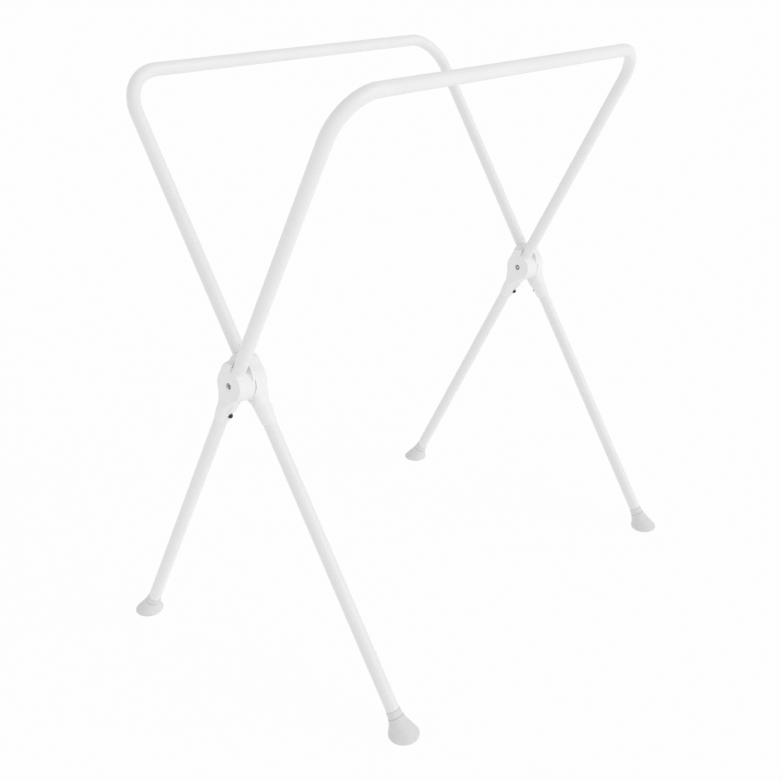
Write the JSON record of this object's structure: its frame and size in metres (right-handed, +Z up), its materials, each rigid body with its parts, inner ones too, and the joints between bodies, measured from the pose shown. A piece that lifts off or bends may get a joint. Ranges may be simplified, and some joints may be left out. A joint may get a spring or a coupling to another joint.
{
  "type": "folding baby bath stand",
  "caption": "Folding X-shaped stand of white coated tube: crossed U frames on plastic knuckles, straight legs in round boots, open rails that carry a baby bath",
  "frame": {"origin": "on the floor, midway between the feet, under the middle of the stand", "axes": "+X runs along the rails and the fold axis, towards the viewer's far right in the picture; +Y runs from the rail of frame B to the rail of frame A; +Z is up"},
  "size_m": [0.8784, 0.6418, 0.996],
  "materials": {
    "coated_tube": "white powder coat, semi-gloss",
    "knuckle_plastic": "moulded white plastic, satin",
    "boot_plastic": "moulded soft white plastic, matt",
    "bearing_plastic": "natural, smooth",
    "zinc_steel": "zinc plated",
    "black_screw": "black, satin",
    "white_rivet": "white painted aluminium"
  },
  "bodies": {
    "frame_a": {"a_top_tube": "coated_tube", "a_leg_left": "coated_tube", "a_leg_right": "coated_tube", "a_knuckle_left": "knuckle_plastic", "a_knuckle_right": "knuckle_plastic", "a_boot_left": "boot_plastic", "a_boot_right": "boot_plastic", "a_leg_screw_left": "black_screw", "a_leg_screw_right": "black_screw", "a_arm_rivet_left": "white_rivet", "a_arm_rivet_right": "white_rivet", "pivot_bolt_left": "zinc_steel", "pivot_bolt_right": "zinc_steel", "pivot_nut_left": "zinc_steel", "pivot_nut_right": "zinc_steel", "pivot_bush_left": "zinc_steel", "pivot_bush_right": "zinc_steel", "pivot_washers_left": "zinc_steel", "pivot_washers_right": "zinc_steel", "thrust_washer_left": "bearing_plastic", "thrust_washer_right": "bearing_plastic"},
    "frame_b": {"b_top_tube": "coated_tube", "b_leg_left": "coated_tube", "b_leg_right": "coated_tube", "b_knuckle_left": "knuckle_plastic", "b_knuckle_right": "knuckle_plastic", "b_boot_left": "boot_plastic", "b_boot_right": "boot_plastic", "b_leg_screw_left": "black_screw", "b_leg_screw_right": "black_screw", "b_arm_rivet_left": "white_rivet", "b_arm_rivet_right": "white_rivet"}
  },
  "joints": [
    {"name": "fold", "type": "hinge", "parent": "frame_a", "child": "frame_b", "pos_m": [0, 0, 0.532], "axis": [-1, 0, 0], "range_deg": [0, 53]}
  ]
}
